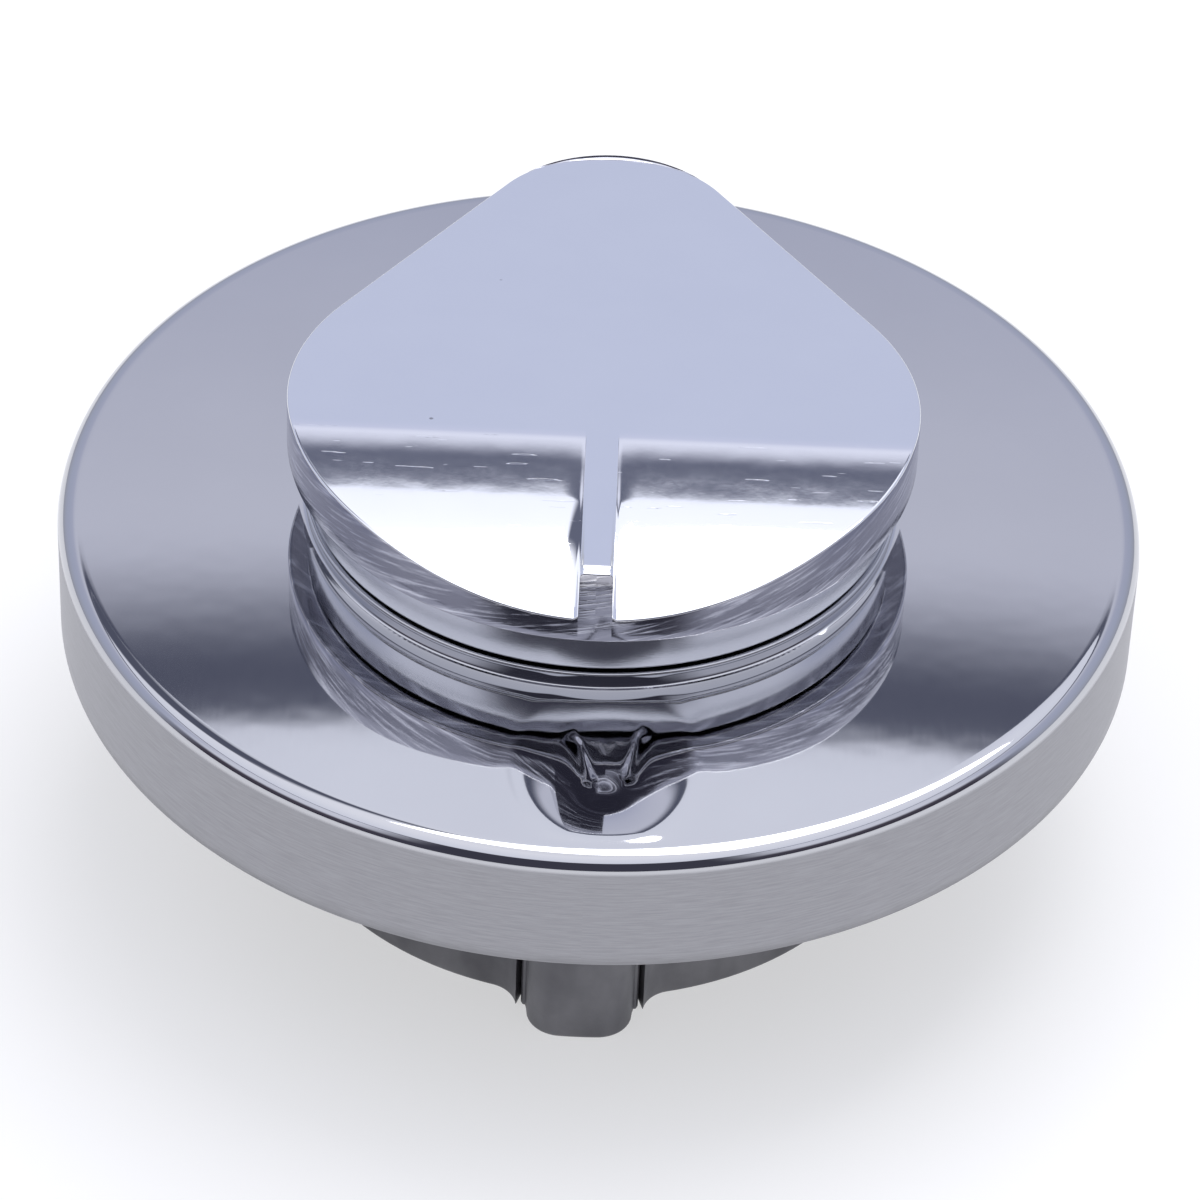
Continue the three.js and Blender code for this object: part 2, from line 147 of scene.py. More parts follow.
def cut_away(piece, cutter, sharp=40):
    """piece less cutter, with its edges marked again."""
    cut = piece.modifiers.new("cut", "BOOLEAN")
    cut.operation = "DIFFERENCE"
    cut.solver = "EXACT"
    cut.object = cutter
    bpy.context.view_layer.update()
    mesh = bpy.data.meshes.new_from_object(piece.evaluated_get(bpy.context.evaluated_depsgraph_get()))
    name = piece.name
    old = piece.data
    bpy.data.objects.remove(piece)
    bpy.data.objects.remove(cutter)
    bpy.data.meshes.remove(old)
    return settle(name, mesh, sharp)


def prism(name, outline, foot, top):
    """An upright solid over a closed outline of (x, y) points."""
    count = len(outline)
    points = [(x, y, foot) for x, y in outline] + [(x, y, top) for x, y in outline]
    faces = [(i, (i + 1) % count, (i + 1) % count + count, i + count) for i in range(count)]
    faces += [tuple(range(count)), tuple(range(count, 2 * count))]
    return mesh_piece(name, points, faces)


def smooth_step(low, high, value):
    """0 up to low, 1 from high on, and a smooth rise between them."""
    t = min(max((value - low) / (high - low), 0), 1)
    return t * t * (3 - 2 * t)


# ---- shell ----
SHEET = 1.2 * MM
RIM_ROUND = 1.8 * MM
RIM_TOP = 35.7 * MM
CROWN_RADIUS = 6.0
BOSS_RADIUS = 27.4 * MM
BOSS_ROUND = 0.25 * MM
BOSS_NECK = 27.12 * MM
BOSS_FOOT = 27.5 * MM
LOCK_HOLE = 12.6 * MM
PIVOT_HOLE = 4.3 * MM

# The alignment mark: an oval dish, two strokes that lean together, and a dent at their foot.
MARK_CENTRE = Vector((1.5 * MM, -36.9 * MM))
MARK_HALF_WIDTH = 6.9 * MM
MARK_HALF_LENGTH = 9.4 * MM
MARK_DEPTH = 0.4 * MM
MARK_LIP = 0.07 * MM
STROKE_TOPS = ((-0.96 * MM, -34.2 * MM), (4.3 * MM, -33.1 * MM))
STROKE_FEET = ((0.3 * MM, -38.9 * MM), (3.2 * MM, -38.3 * MM))
STROKE_DEPTH = 0.1 * MM
STROKE_STEEP_SIDE = 0.25 * MM
STROKE_GENTLE_SIDE = 0.9 * MM
TIP_DENT = Vector((1.3 * MM, -41.2 * MM))
TIP_DENT_DEPTH = 0.1 * MM
TIP_DENT_SPREAD = 1.9 * MM
MARK_BAND_INNER = (27.2 * MM, 29.5 * MM)
MARK_BAND_OUTER = (46.5 * MM, 48 * MM)


def crown(radius):
    """Height of the shell's faintly domed top."""
    return RIM_TOP + ((SHELL_RADIUS - RIM_ROUND) ** 2 - radius ** 2) / (2 * CROWN_RADIUS)


def distance_to_stroke(point, start, end):
    """Distance from a stroke, and a value whose sign tells the stroke's two sides apart."""
    along = Vector(end) - Vector(start)
    t = min(max((point - Vector(start)).dot(along) / along.length_squared, 0), 1)
    nearest = Vector(start) + along * t
    side = along.x * (point.y - start[1]) - along.y * (point.x - start[0])
    return (point - nearest).length, side


def mark_depth(x, y):
    """How far the alignment mark is pressed below the shell's top: an oval dish with a V and a dent in it."""
    point = Vector((x, y))
    offset = point - MARK_CENTRE
    reach = math.hypot(offset.x / MARK_HALF_WIDTH, offset.y / MARK_HALF_LENGTH)
    depth = MARK_DEPTH * (1 - smooth_step(0.15, 1.0, reach))
    depth -= MARK_LIP * math.exp(-((reach - 1.12) / 0.17) ** 2)
    if reach > 1:
        return depth
    for start, end, turn in zip(STROKE_TOPS, STROKE_FEET, (1, -1)):
        gap, side = distance_to_stroke(point, start, end)
        spread = STROKE_STEEP_SIDE if side * turn > 0 else STROKE_GENTLE_SIDE
        depth += STROKE_DEPTH * math.exp(-(gap / spread) ** 2)
    return depth + TIP_DENT_DEPTH * math.exp(-((point - TIP_DENT).length / TIP_DENT_SPREAD) ** 2)


def shell_face(inward):
    """Points (radius, height) from the lock hole to the skirt's foot, on the outer face moved inward."""
    boss_top = SHELL_HIGH.z - inward
    start = BOSS_RADIUS - BOSS_ROUND
    face = [(LOCK_HOLE + (start - inward - LOCK_HOLE) * i / 5, boss_top) for i in range(6)]
    for i in range(1, 8):
        turn = math.pi / 2 * i / 7
        face.append((start - inward + BOSS_ROUND * math.sin(turn),
                     boss_top - BOSS_ROUND * (1 - math.cos(turn))))
    foot = crown(BOSS_FOOT) - inward
    face += [(BOSS_NECK - inward, foot + 0.2 * MM), (BOSS_NECK + 0.1 * MM - inward, foot + 0.06 * MM)]
    start = BOSS_FOOT - inward
    face.append((start, foot))
    flat = SHELL_RADIUS - RIM_ROUND
    face += [(start + (flat - start) * i / 64, crown(start + (flat - start) * i / 64) - inward)
             for i in range(1, 65)]
    roll = RIM_ROUND - inward
    for i in range(1, 13):
        angle = math.pi / 2 * i / 12
        face.append((flat + roll * math.sin(angle), RIM_TOP - RIM_ROUND + roll * math.cos(angle)))
    skirt_top = RIM_TOP - RIM_ROUND
    foot = SHELL_LOW.z + 0.25 * MM
    face += [(SHELL_RADIUS - inward, skirt_top + (foot - skirt_top) * i / 8) for i in range(1, 9)]
    return face


def shell_angles():
    """Angles round the shell, close together where the mark is pressed in."""
    front = [math.radians(-90 + 18 * (i / 70 - 1)) for i in range(141)]
    rest = [math.radians(-72 + 324 * i / 220) for i in range(1, 220)]
    return front + rest


def make_shell():
    outer = shell_face(0)
    inner = shell_face(SHEET)
    foot = [(SHELL_RADIUS - 0.2 * MM, SHELL_LOW.z), (SHELL_RADIUS - SHEET + 0.2 * MM, SHELL_LOW.z)]
    outline = outer + foot + inner[::-1]
    angles = shell_angles()
    points = []
    for index, (radius, height) in enumerate(outline):
        on_sheet = index < len(outer) or index >= len(outer) + len(foot)
        for angle in angles:
            x = radius * math.cos(angle)
            y = radius * math.sin(angle)
            fade = 1 - smooth_step(*MARK_BAND_OUTER, radius)
            fade *= smooth_step(*MARK_BAND_INNER, radius)
            press = mark_depth(x, y) * fade if on_sheet and fade > 0 else 0
            points.append((x, y, height - press))
    faces = grid_faces(len(outline), len(angles), True, True)
    shell = mesh_piece("shell_pressing", points, faces, 50)
    below, above = 30 * MM, 40 * MM
    hole = turned("pivot_hole", [(ON_AXIS, below), (PIVOT_HOLE, below), (PIVOT_HOLE, above), (ON_AXIS, above)],
                  40, centre=(0, PIVOT_Y))
    return cut_away(shell, hole, 50)


# ---- key cover ----
NOSE_RADIUS = 11.9 * MM
NOSE_Y = COVER_HIGH.y - NOSE_RADIUS
TOP_SLOPE = 0.111
PLATE_FOOT = 42.5 * MM
HUB_RADIUS = 6.4 * MM
ROLL_START = -5.5 * MM
RIB_HALF = 1.45 * MM
RIB_END_ROUND = 1.0 * MM
EDGE_ROUND = 0.2 * MM
FOOT_ROUND = 0.3 * MM
FRONT_HALF = 2.6 * MM
COVER_ROWS = 300
SIDE_COLUMNS = 16
BESIDE_EDGE = 0.08 * MM
EDGE_LEVELS = 5
PLAIN_LEVELS = 4
FOOT_LEVELS = 3
WALL_LEVELS = EDGE_LEVELS + PLAIN_LEVELS + FOOT_LEVELS
PIN_GAP = 0.25 * MM


def cover_plane(y):
    """Height of the flat, sloping top face."""
    return COVER_HIGH.z - TOP_SLOPE * (y + COVER_RADIUS)


def roll_table():
    """Depth of the rolled front below the top face, step by step from where the roll starts."""
    length = COVER_RADIUS + ROLL_START + 0.5 * MM
    steps = 240
    depth = [0.0]
    for i in range(steps):
        run = length * (i + 0.5) / steps / MM
        tilt = 6.8 * smooth_step(0, 2, run) + 0.8 * smooth_step(1.2, 6, run) + 0.02 * run
        tilt += 19.2 * smooth_step(9.4, 23, run)
        depth.append(depth[-1] + math.tan(math.radians(tilt)) * length / steps)
    return length, depth


ROLL_LENGTH, ROLL_DEPTH = roll_table()


def roll_depth(y):
    """Depth of the rolled front at y, read between two entries of the table."""
    place = min(max((ROLL_START - y) / ROLL_LENGTH, 0), 0.999) * (len(ROLL_DEPTH) - 1)
    index = int(place)
    return ROLL_DEPTH[index] + (ROLL_DEPTH[index + 1] - ROLL_DEPTH[index]) * (place - index)


def beside_rib(x):
    """0 on top of the rib, 1 clear of it, with a small round at its top edge and a small fillet at its foot."""
    away = abs(x) - RIB_HALF
    if away < 0:
        return 0.05 * smooth_step(-0.3 * MM, 0, away)
    if away < 0.05 * MM:
        return 0.05 + 0.9 * away / (0.05 * MM)
    return 0.95 + 0.05 * smooth_step(0.05 * MM, 0.45 * MM, away)


def rib_end_drop(x, y):
    """How far the front end of the rib is rounded off below its own line."""
    away = y + COVER_RADIUS
    if abs(x) > RIB_HALF + 0.01 * MM or away >= RIB_END_ROUND:
        return 0
    return RIB_END_ROUND - math.sqrt(RIB_END_ROUND ** 2 - (RIB_END_ROUND - away) ** 2)


def cover_top(x, y):
    """Height of the cover's finished top at a point."""
    return cover_plane(y) - roll_depth(y) * beside_rib(x) - rib_end_drop(x, y)


def cover_outline(fraction):
    """Point and outward direction on the right side of the drop, from the front (0) to the nose (1)."""
    lean = math.asin((COVER_RADIUS - NOSE_RADIUS) / NOSE_Y)
    front = math.asin(FRONT_HALF / COVER_RADIUS)
    arc = (math.pi / 2 + lean - front) * COVER_RADIUS
    straight = math.sqrt(NOSE_Y ** 2 - (COVER_RADIUS - NOSE_RADIUS) ** 2)
    nose_end = math.radians(4)
    nose = (math.pi / 2 - lean - nose_end) * NOSE_RADIUS
    run = fraction * (arc + straight + nose)
    if run < arc:
        angle = -math.pi / 2 + front + run / COVER_RADIUS
        return Vector((math.cos(angle), math.sin(angle))) * COVER_RADIUS, angle
    if run < arc + straight:
        start = Vector((math.cos(lean), math.sin(lean))) * COVER_RADIUS
        return start + Vector((-math.sin(lean), math.cos(lean))) * (run - arc), lean
    angle = lean + (run - arc - straight) / NOSE_RADIUS
    return Vector((0, NOSE_Y)) + Vector((math.cos(angle), math.sin(angle))) * NOSE_RADIUS, angle


def rib_columns():
    """Distances from the middle, from the rib's centre line to just clear of its foot."""
    offsets = (-0.3, -0.18, -0.08, 0, 0.05, 0.12, 0.22, 0.45)
    return [0, RIB_HALF / 3, RIB_HALF * 2 / 3] + [RIB_HALF + offset * MM for offset in offsets]


def pulled_in(x, y, angle, inset):
    """A point of the outline moved inward, against its outward angle."""
    return x - inset * math.cos(angle), y - inset * math.sin(angle)


def cover_rows():
    """The cover's top as rows of (x, y), and the outline points (x, y, outward angle) that its edge belongs to."""
    columns = rib_columns()
    rows = []
    rims = []
    for step in range(1, COVER_ROWS):
        edge, angle = cover_outline(step / COVER_ROWS)
        lip_x, lip_y = pulled_in(edge.x, edge.y, angle, EDGE_ROUND)
        inner = min(columns[-1], lip_x * 0.7)
        last = lip_x - BESIDE_EDGE
        half = [x * inner / columns[-1] for x in columns]
        half += [inner + (last - inner) * i / SIDE_COLUMNS for i in range(1, SIDE_COLUMNS + 1)] + [lip_x]
        rows.append([(-x, lip_y) for x in half[:0:-1]] + [(x, lip_y) for x in half])
        rims.append((edge.x, edge.y, angle))
    ends = []
    for row, radius, middle, side in ((rows[0], COVER_RADIUS, 0, -1), (rows[-1], NOSE_RADIUS, NOSE_Y, 1)):
        spread = [(x * radius / (radius - EDGE_ROUND)) for x, _ in row]
        arc = [(x, middle + side * math.sqrt(radius ** 2 - x ** 2)) for x in spread]
        ends.append([(x, y, math.atan2(y - middle, x)) for x, y in arc])
    front, nose = ends
    rows = [[pulled_in(*point, EDGE_ROUND) for point in front]] + rows
    rows.append([pulled_in(*point, EDGE_ROUND) for point in nose])
    return rows, front, rims, nose


def make_cover():
    rows, front, rims, nose = cover_rows()
    width = len(rows[0])
    points = [(x, y, cover_top(x, y)) for row in rows for x, y in row]
    faces = grid_faces(len(rows), width)
    last = len(rows) - 1
    border = {(0, column): point for column, point in enumerate(front)}
    border.update({(row, width - 1): rim for row, rim in enumerate(rims, 1)})
    border.update({(last, column): nose[column] for column in range(width - 1, -1, -1)})
    border.update({(row, 0): (-rims[row - 1][0], rims[row - 1][1], math.pi - rims[row - 1][2])
                   for row in range(last - 1, 0, -1)})
    ring = [row * width + column for row, column in border]
    count = len(ring)
    for level in range(1, WALL_LEVELS + 1):
        start = len(points)
        points += [wall_point(*rim, level) for rim in border.values()]
        new_ring = list(range(start, len(points)))
        faces += [(ring[i], new_ring[i], new_ring[(i + 1) % count], ring[(i + 1) % count]) for i in range(count)]
        ring = new_ring
    lookup = dict(zip(border, ring))
    under = []
    for r, row in enumerate(rows):
        for c, (x, y) in enumerate(row):
            if (r, c) in lookup:
                under.append(lookup[(r, c)])
            else:
                under.append(len(points))
                points.append((x, y, PLATE_FOOT))
    faces += [tuple(under[i] for i in face) for face in grid_faces(len(rows), width)]
    return mesh_piece("key_cover_casting", points, faces, 32)


def make_hub():
    """The round foot under the cover's nose, which turns on the pivot bush."""
    bore, foot, top = PIN_HIGH.x + PIN_GAP, COVER_LOW.z, PLATE_FOOT + 0.2 * MM
    outline = [(bore, foot), (HUB_RADIUS, foot), (HUB_RADIUS, top), (bore, top)]
    return turned("cover_hub", eased(outline, 0.3 * MM), 64, centre=(0, PIVOT_Y))


def wall_point(x, y, angle, level):
    """A point down the cover's side: a rounded top edge, a plain wall, and a rounded foot."""
    lip_x, lip_y = pulled_in(x, y, angle, EDGE_ROUND)
    top = cover_top(lip_x, lip_y)
    if level <= EDGE_LEVELS:
        turn = math.pi / 2 * level / EDGE_LEVELS
        out_x, out_y = pulled_in(lip_x, lip_y, angle, -EDGE_ROUND * math.sin(turn))
        return out_x, out_y, top - EDGE_ROUND * (1 - math.cos(turn))
    if level <= EDGE_LEVELS + PLAIN_LEVELS:
        high, low = top - EDGE_ROUND, PLATE_FOOT + FOOT_ROUND
        return x, y, high + (low - high) * (level - EDGE_LEVELS) / PLAIN_LEVELS
    turn = math.pi / 2 * (level - EDGE_LEVELS - PLAIN_LEVELS) / FOOT_LEVELS
    back_x, back_y = pulled_in(x, y, angle, FOOT_ROUND * (1 - math.cos(turn)))
    return back_x, back_y, PLATE_FOOT + FOOT_ROUND * (1 - math.sin(turn))


# ---- cast body ----
BARREL_RADIUS = 29.6 * MM
BORE_RADIUS = 26.4 * MM
LUG_REACH = 35 * MM
LUG_HALF = 5.4 * MM
LUG_ROUND = 3.6 * MM
LUG_TOP = 25.5 * MM
LUG_FILLET = 2.8 * MM
FLANGE_FOOT = 30.7 * MM
FLANGE_EDGE = 0.6 * MM
BARREL_EDGE = 0.7 * MM
DECK_FOOT = 16 * MM
DECK_TOP = 19 * MM
DECK_HOLE = 12.5 * MM
BOLT_GAP = 0.3 * MM


def lug_radius(angle):
    """Distance of the body's outside from the axis, at an angle from the middle of a lug."""
    reach = abs(math.remainder(angle, math.pi))
    side = math.asin(LUG_HALF / BARREL_RADIUS)
    fillet = LUG_FILLET / BARREL_RADIUS
    if reach > side + fillet:
        return BARREL_RADIUS
    across = math.sin(reach) * LUG_REACH
    if reach > side:
        t = (side + fillet - reach) / fillet
        return BARREL_RADIUS + LUG_FILLET * (1 - math.sqrt(max(1 - t * t, 0)))
    limit = LUG_HALF / math.sin(reach) if reach > 1e-6 else LUG_REACH
    drop = 0
    if across > LUG_HALF - LUG_ROUND:
        excess = min(across - (LUG_HALF - LUG_ROUND), LUG_ROUND)
        drop = LUG_ROUND - math.sqrt(LUG_ROUND ** 2 - excess ** 2)
    return min(limit, LUG_REACH - drop)


def body_angles():
    """Angles round the body, close together over the two lugs."""
    angles = []
    for half_turn in range(2):
        lug = -math.pi / 2 + math.pi * half_turn
        angles += [lug + math.radians(-18 + 36 * i / 90) for i in range(91)]
        angles += [lug + math.radians(18 + 144 * i / 60) for i in range(1, 60)]
    return angles


def make_body():
    """The cast body. Each loop has its own radius, or follows the lugs and grows from there, and a height."""
    angles = body_angles()
    loops = [(BORE_RADIUS, None, 0), (None, -BARREL_EDGE, 0)]
    loops += [(None, -BARREL_EDGE * (1 - math.sin(math.pi / 2 * i / 5)),
               BARREL_EDGE * (1 - math.cos(math.pi / 2 * i / 5))) for i in range(1, 6)]
    loops += [(None, 0, LUG_TOP * i / 8 + BARREL_EDGE * (1 - i / 8)) for i in range(1, 9)]
    flange, top = BODY_HIGH.x, BODY_HIGH.z
    loops += [(BARREL_RADIUS, None, LUG_TOP), (BARREL_RADIUS, None, FLANGE_FOOT),
              (flange - FLANGE_EDGE, None, FLANGE_FOOT), (flange, None, FLANGE_FOOT + FLANGE_EDGE),
              (flange, None, top - FLANGE_EDGE), (flange - FLANGE_EDGE, None, top), (BORE_RADIUS, None, top),
              (BORE_RADIUS, None, DECK_TOP), (DECK_HOLE, None, DECK_TOP), (DECK_HOLE, None, DECK_FOOT),
              (BORE_RADIUS, None, DECK_FOOT)]
    points = []
    for radius, grow, height in loops:
        for angle in angles:
            reach = radius if radius is not None else lug_radius(angle + math.pi / 2) + grow
            points.append((reach * math.cos(angle), reach * math.sin(angle), height))
    body = mesh_piece("cast_body", points, grid_faces(len(loops), len(angles), True, True), 35)
    half = (BOLT_HIGH.y - BOLT_LOW.y) / 2 + BOLT_GAP
    reach = 40 * MM
    slot = prism("bolt_slot", [(-reach, -half), (reach, -half), (reach, half), (-reach, half)],
                 BOLT_LOW.z - BOLT_GAP, BOLT_HIGH.z + BOLT_GAP)
    return cut_away(body, slot, 35)


# ---- smaller turned and formed pieces ----
def make_gasket():
    """The flat seal under the flange, with two shallow grooves in its lower face."""
    inner, outer = 29.9 * MM, GASKET_HIGH.x
    low, high = GASKET_LOW.z, GASKET_HIGH.z
    groove = 0.5 * MM
    slope = 0.6 * MM
    outline = [(inner, low)]
    for start, end in ((33 * MM, 35.8 * MM), (37.6 * MM, 40.4 * MM)):
        outline += [(start, low), (start + slope, low + groove), (end - slope, low + groove), (end, low)]
    outline += [(outer, low), (outer, high), (inner, high)]
    return turned("neck_seal", eased(outline, 0.4 * MM), 128)


def make_collar():
    """The smooth ring that stands round the lock, under the key cover."""
    low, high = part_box("lock_collar")
    inner, outer = 19.5 * MM, high.x
    outline = [(inner, low.z), (outer, low.z), (outer, high.z), (inner, high.z)]
    return turned("collar_ring", eased(outline, 0.35 * MM), 192)


def make_lock_head():
    """The lock's sleeve and round head, with a shallow groove in its face."""
    sleeve, head, bore = 12.2 * MM, LOCK_HIGH.x, 8.5 * MM
    shoulder, face = 37.9 * MM, LOCK_HIGH.z
    groove = face - 0.35 * MM
    outline = [(bore, LOCK_LOW.z), (sleeve, LOCK_LOW.z), (sleeve, shoulder), (head, shoulder), (head, face),
               (11.6 * MM, face), (11.2 * MM, groove), (9.4 * MM, groove), (9.2 * MM, face), (bore, face)]
    return turned("lock_head", eased(outline, 0.45 * MM), 96)


def make_foot_screw(node):
    """A countersunk screw, head down, with a cross recess."""
    low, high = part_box(node)
    centre = ((low.x + high.x) / 2, (low.y + high.y) / 2)
    head, shank = (high.x - low.x) / 2, 1.2 * MM
    centre_line, edge, head_height, tip = 0.01 * MM, 0.2 * MM, 1.6 * MM, 0.6 * MM
    outline = [(centre_line, low.z), (head - edge, low.z), (head, low.z + edge), (shank, low.z + head_height),
               (shank, high.z - tip), (tip, high.z), (centre_line, high.z)]
    screw = turned(node + "_cross", outline, 32, 30, centre)
    arm, half, depth = 1.5 * MM, 0.28 * MM, 0.9 * MM
    cross = [(arm, -half), (arm, half), (half, half), (half, arm), (-half, arm), (-half, half), (-arm, half),
             (-arm, -half), (-half, -half), (-half, -arm), (half, -arm), (half, -half)]
    turn = math.atan2(centre[1], centre[0]) + 0.4
    placed = [(centre[0] + x * math.cos(turn) - y * math.sin(turn),
               centre[1] + x * math.sin(turn) + y * math.cos(turn)) for x, y in cross]
    return cut_away(screw, prism("cross_recess", placed, low.z - 1 * MM, low.z + depth), 30)


def make_breather_coil():
    """The breather's spring, wound round its own centre line with flattened end turns."""
    low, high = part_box("breather_spring")
    centre = (low + high) / 2
    wire, turns, steps, sides = 0.3 * MM, 4, 48, 10
    radius = (high.x - low.x) / 2 - wire
    points = []
    for step in range(turns * steps + 1):
        t = step / (turns * steps)
        angle = TURN * turns * t
        height = low.z + wire + (high.z - low.z - 2 * wire) * smooth_step(-0.1, 1.1, t)
        for side in range(sides):
            around = TURN * side / sides
            reach = radius + wire * math.cos(around)
            points.append((centre.x + reach * math.cos(angle), centre.y + reach * math.sin(angle),
                           height + wire * math.sin(around)))
    faces = grid_faces(turns * steps + 1, sides, False, True)
    faces += [tuple(range(sides)), tuple(range(len(points) - sides, len(points)))]
    coil = mesh_piece("breather_coil", points, faces, 60)
    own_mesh(coil)
    return coil


# ---- shader helpers ----
class Socket:
    """A shader value that takes part in ordinary arithmetic, adding Math nodes as it goes."""

    def __init__(self, tree, link):
        self.tree = tree
        self.link = link

    def math(self, operation, other, swap=False):
        node = self.tree.nodes.new("ShaderNodeMath")
        node.operation = operation
        pair = [self, other]
        if swap:
            pair.reverse()
        for socket, value in zip(node.inputs, pair):
            if isinstance(value, Socket):
                self.tree.links.new(value.link, socket)
            else:
                socket.default_value = value
        return Socket(self.tree, node.outputs[0])

    def __add__(self, other):
        return self.math("ADD", other)

    def __radd__(self, other):
        return self.math("ADD", other, True)

    def __sub__(self, other):
        return self.math("SUBTRACT", other)

    def __rsub__(self, other):
        return self.math("SUBTRACT", other, True)

    def __mul__(self, other):
        return self.math("MULTIPLY", other)

    def __rmul__(self, other):
        return self.math("MULTIPLY", other, True)

    def __gt__(self, other):
        return self.math("GREATER_THAN", other)

class Finish:
    """A material under construction."""

    def __init__(self, name, **constants):
        self.material = bpy.data.materials.new(name)
        self.material.use_nodes = True
        self.tree = self.material.node_tree
        self.shader = self.tree.nodes["Principled BSDF"]
        for socket, value in constants.items():
            self.shader.inputs[socket.replace("_", " ")].default_value = value
        self.place = self.node("TexCoord", output="Object")

    def node(self, kind, settings=None, output=0, **inputs):
        """Any other node: its settings first, then the values or links of its sockets."""
        node = self.tree.nodes.new("ShaderNode" + kind)
        settings = dict(settings or {})
        stops = settings.pop("stops", None)
        for key, value in settings.items():
            setattr(node, key, value)
        if stops:
            ramp = node.color_ramp.elements
            while len(ramp) < len(stops):
                ramp.new(1)
            for element, (position, value) in zip(ramp, stops):
                element.position = position
                element.color = value if isinstance(value, tuple) else (value, value, value, 1)
        for key, value in inputs.items():
            name = key.replace("_", " ")
            socket = next(s for s in node.inputs if s.name == name and s.enabled)
            self.feed(socket, value)
        return Socket(self.tree, node.outputs[output])

    def feed(self, socket, value):
        if isinstance(value, Socket):
            self.tree.links.new(value.link, socket)
        else:
            socket.default_value = value

    def set(self, **inputs):
        for key, value in inputs.items():
            self.feed(self.shader.inputs[key.replace("_", " ")], value)
        return self

    def stretched(self, scale):
        """Object coordinates stretched, so that a pattern runs long one way."""
        return self.node("Mapping", Vector=self.place, Scale=scale)

    def noise(self, scale, detail=4, vector=None, rough=0.55):
        return self.node("TexNoise", output="Fac", Vector=vector or self.place, Scale=scale, Detail=detail,
                         Roughness=rough)

    def ramp(self, factor, *stops):
        return self.node("ValToRGB", {"stops": stops}, output="Color", Fac=factor)

    def level(self, factor, low, high, to_low=0.0, to_high=1.0):
        """factor from low to high, spread smoothly from to_low to to_high."""
        return self.node("MapRange", {"interpolation_type": "SMOOTHSTEP"}, output="Result", Value=factor,
                         From_Min=low, From_Max=high, To_Min=to_low, To_Max=to_high)

    def mix(self, factor, first, second):
        node = self.tree.nodes.new("ShaderNodeMix")
        node.data_type = "RGBA"
        self.feed(node.inputs[0], factor)
        self.feed(node.inputs[6], first)
        self.feed(node.inputs[7], second)
        return Socket(self.tree, node.outputs[2])

    def bump(self, height, strength, distance):
        return self.node("Bump", output="Normal", Height=height, Strength=strength, Distance=distance)

    def axis(self, name):
        return self.node("SeparateXYZ", output=name, Vector=self.place)


def colour(red, green, blue):
    return (red, green, blue, 1)


# ---- materials ----
def ring_direction(finish):
    """Angle round the axis and distance from it, for marks that run round the cap."""
    x, y = finish.axis("X"), finish.axis("Y")
    angle = x.math("ARCTAN2", y)
    radius = (x * x + y * y).math("SQRT", 0)
    return angle, radius


def shell_steel():
    """Pressed stainless sheet: polished on top, with the skirt brushed round its edge."""
    finish = Finish("shell_steel", Metallic=1.0)
    height = finish.axis("Z")
    angle, radius = ring_direction(finish)
    round_skirt = finish.node("CombineXYZ", output="Vector", X=angle * 14, Y=height * 5200, Z=0.0)
    brush = finish.noise(1.0, 5, round_skirt, 0.7)
    fine = finish.noise(2600, 3, finish.stretched((1, 0.12, 1)), 0.6)
    cloud = finish.noise(60, 3)
    skirt = finish.level(height, RIM_TOP - 1.7 * MM, RIM_TOP - 1.3 * MM, 1.0, 0.0)
    inside = finish.level(radius, SHELL_RADIUS - 0.8 * MM, SHELL_RADIUS - 0.5 * MM, 0.0, 1.0)
    skirt = skirt * inside
    top_tone = finish.mix(cloud, colour(0.52, 0.525, 0.55), colour(0.56, 0.565, 0.59))
    skirt_tone = finish.mix(finish.level(brush, 0.3, 0.7), colour(0.31, 0.31, 0.33), colour(0.38, 0.38, 0.405))
    rough = 0.028 + 0.012 * fine
    skirt_rough = 0.36 + 0.12 * brush
    bump_height = brush * skirt + fine * 0.012 + cloud * 1.2
    return finish.set(Base_Color=finish.mix(skirt, top_tone, skirt_tone),
                      Roughness=rough + (skirt_rough - rough) * skirt,
                      Normal=finish.bump(bump_height, 0.25, 0.00003)).material


